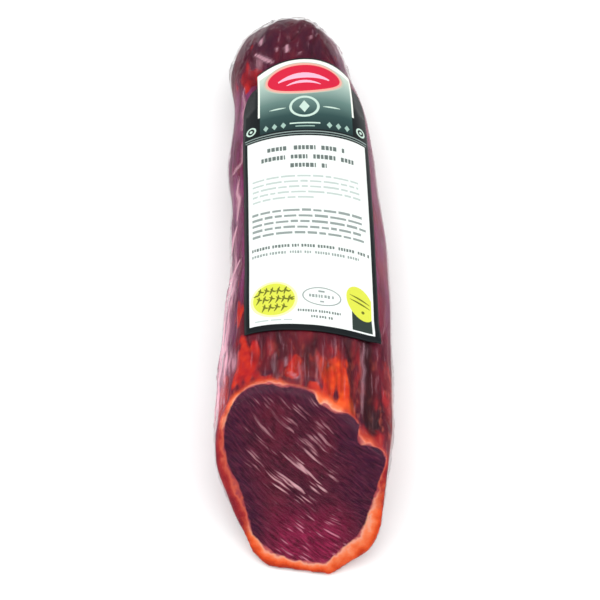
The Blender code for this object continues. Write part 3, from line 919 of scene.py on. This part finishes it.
# %% Header and its motifs
MIDDLE = -0.6                   # mm, a little to the left of the label's own middle
OVAL, RING = (MIDDLE, 146.0), (MIDDLE, 128.6)
draw("pale_edge", header_panel(23.0, 126, 152.4, 5.2))
draw("header_shade", header_panel(22.0, 114.8, 149.6, 5.0))
for half, ink in ((19.4, "halo_outer"), (18.4, "halo_inner")):
    ellipse(ink, OVAL, half, half * 0.5)
ellipse("red", OVAL, 17.2, 8.0, steps=56)
stroke("pink", (-12.5, 145.0), (MIDDLE, 150.4), (11.3, 145.0), 3.2)
stroke("pink", (-8.5, 142.2), (MIDDLE, 145.6), (7.3, 142.2), 1.6)

ellipse("pale", RING, 7.0, 6.4)
ellipse("header_shade", RING, 5.8, 5.2)
lozenge("pale", *RING, 2.4, 3.6)
for side in (-1, 1):
    stroke("pale", *[(MIDDLE + side * away, RING[1]) for away in (8.6, 12.6, 16.6)], 0.9)
    for column in range(3):
        lozenge("sage", side * (10.6 + 4.2 * column), 117.8, 1.3, 1.9)
    for ink, half, steps in (("pale", 2.7, 24), ("black", 1.8, 20), ("pale", 0.8, 12)):
        ellipse(ink, (side * 26.6, 118.6), half, half, steps=steps)
rectangle("pale", -7.6, 6.4, 118.2, 119.0)
rectangle("sage", -5.0, 3.8, 116.4, 117.0)
for inset, low, high in ((1.2, 113.3, 113.9), (1.6, 111.9, 112.4)):
    rectangle("rule", -HALF_WIDTH + inset, HALF_WIDTH - inset, low, high)
print("shapes so far:", len(shapes))

# %% [markdown]
# Small print is read as a grey texture of words. Each line is a row of blocks as wide as words or letters.
# Their widths come from a random generator with a fixed seed, so the lines look different and still come
# out the same on each run.

# %% Rows of bars for the print
LETTER_GAP = 0.42               # mm
luck = random.Random(5)


def print_row(ink, left, right, low, height, word=(2.2, 7.5), gap=1.0, letters=None):
    """Blocks of uneven width from left to right. With letters, each word is cut into narrow blocks."""
    place = left
    while place < right - 0.8:
        width = min(luck.uniform(*word), right - place)
        if letters:
            step = place
            while step < place + width - 0.5:
                size = luck.uniform(0.6, 1.0) * letters
                foot = low + luck.choice((0, 0, 0.2))
                rectangle(ink, step, min(step + size, place + width), foot, low + height)
                step += size + LETTER_GAP
        else:
            rectangle(ink, place, place + width, low, low + height * luck.uniform(0.85, 1.1))
        place += width + gap


for low, left, right in ((102.6, -18.5, 17.5), (97.2, -21.5, 21.5), (92.2, -8.0, 8.5)):
    print_row("dark_print", left, right, low, 2.5, (6, 12), 2.6, letters=1.7)
for line in range(5):
    right = luck.uniform(22.5, 26) if line < 4 else 2
    print_row("faint_print", -26.2, right, 86.6 - 3.1 * line, 1.1)
for line in range(5):
    print_row("grey_print", -26.6, luck.uniform(23.5, 26.4), 66.6 - 3.25 * line, 1.35)
print_row("dark_print", -27.0, 27.4, 46.0, 1.7, (3, 9), 1.1, letters=1.1)
print_row("grey_print", -27.0, 22.0, 42.4, 1.5, (3, 9), 1.0, letters=1.0)
print("shapes with the rows:", len(shapes))

# %% [markdown]
# The foot of the label has two yellow badges and an oval ring with small print round it. The left badge is
# filled with rows of short crossed strokes.

# %% Badges and the label's corner
for half, ink in ((10.6, "yellow_edge"), (9.4, "yellow")):
    ellipse(ink, (-17.4, 17.0), half, half * 0.93, 8)
for low, left, right in ((20.4, -24.6, -11.6), (15.8, -25.4, -8.8), (11.2, -22.8, -11.6)):
    while left < right:
        tilt = luck.uniform(-0.9, 0.9)
        rising, falling = (left + 1.2 + tilt, low + 1.6), (left + 1.9, low + 0.4 + tilt)
        stroke("olive", (left, low - 0.9), rising, (left + 1.4, low + 3.4), 0.95)
        stroke("olive", (left + 0.4, low + 2.6), falling, (left + 3.0, low + 1.4), 0.9)
        left += luck.uniform(2.5, 3.3)
stroke("olive", (-26.6, 19.6), (-25.4, 19.9), (-23.4, 20.4), 0.9)
stroke("olive", (-12.0, 16.6), (-10.0, 17.2), (-8.2, 18.2), 0.9)
ellipse("grey_print", (4.0, 19.0), 8.8, 5.0, steps=48)
ellipse("white", (4.0, 19.0), 8.25, 4.45, steps=48)
print_row("grey_print", -1.8, 9.8, 18.2, 1.7, (2, 4), 0.5, letters=1.1)
rectangle("grey_print", 2.4, 5.2, 21.2, 22.2)
rectangle("grey_print", 3.0, 4.8, 15.8, 16.6)
print_row("dark_print", -7.0, 13.2, 10.2, 1.3, (4, 9), 0.7, letters=0.9)
print_row("dark_print", -1.2, 9.0, 7.2, 1.3, (3, 6), 0.6, letters=0.9)
print_row("faint_print", -26.0, -9.6, 5.2, 0.8)
rectangle("corner_ink", 17.6, 27.4, 4.2, 14.6)
ellipse("yellow", (22.0, 19.0), 6.2, 9.2, 24)
rectangle("white", 27.4, 28.6, 3.3, 60)
rectangle("black", 28.6, HALF_WIDTH, 0, 60)
stroke("olive", (16.8, 23.0), (22.0, 21.4), (26.6, 19.4), 0.9)
stroke("olive", (16.8, 20.6), (22.0, 19.0), (26.6, 17.2), 0.9)
ellipse("olive", (23.0, 14.6), 0.8, 0.8, steps=12)
print("shapes of the print:", len(shapes), "in", len({ink for ink, _ in shapes}), "inks")

# %% [markdown]
# Coated paper has a smooth, slightly glossy face. Each ink is one material, as the mesh gives the crisp
# edges between the fields. The header's panel fades from dark green at its foot to pale grey green, which a
# ramp along the label's own flat coordinates gives, so it has no colour in the list. The press's mottle and
# the paper's fibres are drawn about 1 mm wide, coarser than real ones, so that they show.

# %% Materials of the paper and its inks
INKS = {
    "black": "0b1316", "white": "e9efec", "pale_edge": "eef3ea", "header_shade": None,
    "halo_outer": "b9bfae", "halo_inner": "e9a79a", "red": "d2213f", "pink": "f3b7cd", "pale": "c3dbcf",
    "sage": "9dbcb1", "rule": "8b9c98", "dark_print": "66716e", "grey_print": "8f9a97",
    "faint_print": "bcc8c4", "yellow_edge": "f0f3ae", "yellow": "d6dc4c", "olive": "6c7122",
    "corner_ink": "2e3a35",
}


def paper_material(ink, colour):
    """Coated paper under one ink, with the faint mottle of a press. Without a colour it fades upwards."""
    material, tree, output = new_material("coated_paper_" + ink)
    place = add_node(tree, "TexCoord", out="Object")
    mottle = add_node(tree, "TexNoise", {"Vector": place, "Scale": 1 / (0.8 * MM), "Detail": 2.0})
    if colour is None:
        flat = add_node(tree, "SeparateXYZ", {0: add_node(tree, "UVMap", uv_map="flat_mm")}, out=1)
        height = add_node(tree, "MapRange", {"Value": flat, "From Min": 1.15, "From Max": 1.55})
        base = add_node(tree, "ValToRGB", {"Fac": height}, stops=(
            (0.0, "1f3435"), (0.22, "2f4b4a"), (0.45, "64827c"), (0.7, "a3bbb2"), (1.0, "dbe3d3")))
    else:
        base = hex_colour(colour)
    press = add_node(tree, "Mix", {0: mottle, 6: (0.97, 0.97, 0.97, 1), 7: (1.03, 1.03, 1.03, 1)}, **RGBA)
    base = add_node(tree, "Mix", {0: 1.0, 6: base, 7: press}, blend_type="MULTIPLY", **RGBA)
    fibres = add_node(tree, "TexNoise", {"Vector": place, "Scale": 1 / (1.6 * MM), "Detail": 3.0})
    fibres = add_node(tree, "Bump", {"Height": fibres, "Strength": 0.08, "Distance": 0.1 * MM})
    surface = add_node(tree, "BsdfPrincipled", {"Base Color": base, "Roughness": 0.42, "Normal": fibres,
                                                "Specular IOR Level": 0.18})
    tree.links.new(surface, output.inputs["Surface"])
    return material


papers = {ink: paper_material(ink, colour) for ink, colour in INKS.items()}
print("papers:", len(papers))

# %% [markdown]
# All outlines go into one triangulation with a grid of extra points, which let the paper bend. It tells for
# each triangle which outlines hold it, and the topmost one gives the ink.

# %% The flat label
GRID = 2.0                      # mm between the extra points
corners, loops = [], []
for _, edge in shapes:
    loops.append(list(range(len(corners), len(corners) + len(edge))))
    corners.extend(edge)
for row in range(int(LABEL_LENGTH / GRID)):
    for column in range(-15, 16):
        place = Vector((column * GRID + 0.37, 0.9 + row * GRID))     # beside the outlines' round numbers
        inside = HALF_WIDTH if place.y < 130 else HEADER_HALF
        if abs(place.x) < inside - 0.5 and place.y < 158 - 5 * (place.x / HEADER_HALF) ** 2:
            corners.append(place)
flat_points, _, triangles, _, _, sources = delaunay_2d_cdt(corners, [], loops, 1, 1e-5, True)
print("flat label:", len(flat_points), "points and", len(triangles), "triangles")

# %% [markdown]
# Paper bends one way only, so it lies over the loin like a sheet over a log. For each place along the loin,
# rays from above measure the film's outline, and a point of the flat label goes as far round that line as
# it is from the label's middle. The lower right corner has come loose and lifts a little.

# %% Laying the label on the film
LIFT = 0.62                     # mm from the smooth shape to the top of the paper
CURL, CURL_REACH = 2.2, 14      # mm that the loose corner lifts, and from how far
ROW_STEP = 2.0                  # mm along the loin
RAY_START = 80                  # mm above the floor
BESIDE = 10                     # mm, the height that a ray beside the loin gives
EVENING_ROUNDS = 4
columns = np.arange(-39, 39.01, 0.75)
rows = np.arange(LABEL_START - ROW_STEP, LABEL_START + LABEL_LENGTH + ROW_STEP + 0.01, ROW_STEP)
heights = np.zeros((len(rows), len(columns)))
for i, row in enumerate(rows):
    for j, column in enumerate(columns):
        hit = smooth_tree.ray_cast(Vector((column, row, RAY_START)) * MM, Vector((0, 0, -1)))[0]
        heights[i, j] = hit.z / MM if hit else BESIDE
for _ in range(EVENING_ROUNDS):
    padded = np.pad(heights, 1, mode="edge")
    heights = (padded[:-2, 1:-1] + padded[2:, 1:-1] + padded[1:-1, :-2] + padded[1:-1, 2:] + 2 * heights) / 6
steps = np.hypot(np.diff(columns)[None, :], np.diff(heights, axis=1))
reaches = np.concatenate([np.zeros((len(rows), 1)), np.cumsum(steps, axis=1)], axis=1)
for i, row in enumerate(rows):
    reaches[i] -= np.interp(label_middle(row), columns, reaches[i])


def lay(point):
    """Where a point of the flat label ends up, in mm."""
    row = LABEL_START + point.y
    i = min(int((row - rows[0]) / ROW_STEP), len(rows) - 2)
    share = (row - rows[i]) / ROW_STEP
    places = []
    for k in (i, i + 1):
        x = np.interp(point.x, reaches[k], columns)
        places.append(np.array((x, rows[k], np.interp(x, columns, heights[k]))))
    place = places[0] * (1 - share) + places[1] * share
    place[1] = row
    slope = (np.interp(place[0] + 1, columns, heights[i]) - np.interp(place[0] - 1, columns, heights[i])) / 2
    curl = CURL * soft_step(math.hypot(point.x - HALF_WIDTH, point.y), CURL_REACH, 0)
    outward = Vector((-slope, 0, 1)).normalized() * (LIFT + curl)
    return Vector(place) + outward


PAPER = 0.18 * MM
inks = list(INKS)
label_mesh = bmesh.new()
verts = [label_mesh.verts.new(lay(point) * MM) for point in flat_points]
flat_layer = label_mesh.loops.layers.uv.new("flat_mm")
for triangle, source in zip(triangles, sources):
    if not source:
        continue
    face = label_mesh.faces.new([verts[i] for i in triangle])
    face.material_index = inks.index(shapes[max(source)][0])
    face.smooth = True
    for loop, i in zip(face.loops, triangle):
        loop[flat_layer].uv = flat_points[i] / 100          # 100 mm make 1 in the UV map
bmesh.ops.delete(label_mesh, geom=[vert for vert in label_mesh.verts if not vert.link_faces], context="VERTS")
label = finish_piece("printed_label", label_mesh, papers["black"], "label_paper", "label")
for ink in inks[1:]:
    label.data.materials.append(papers[ink])
paper = label.modifiers.new("paper_thickness", "SOLIDIFY")
paper.thickness = PAPER
paper.offset = -1
paper.use_even_offset = True
places = np.array([vertex.co for vertex in label.data.vertices]) / MM
print("label from", places.min(axis=0).round(1), "to", places.max(axis=0).round(1))
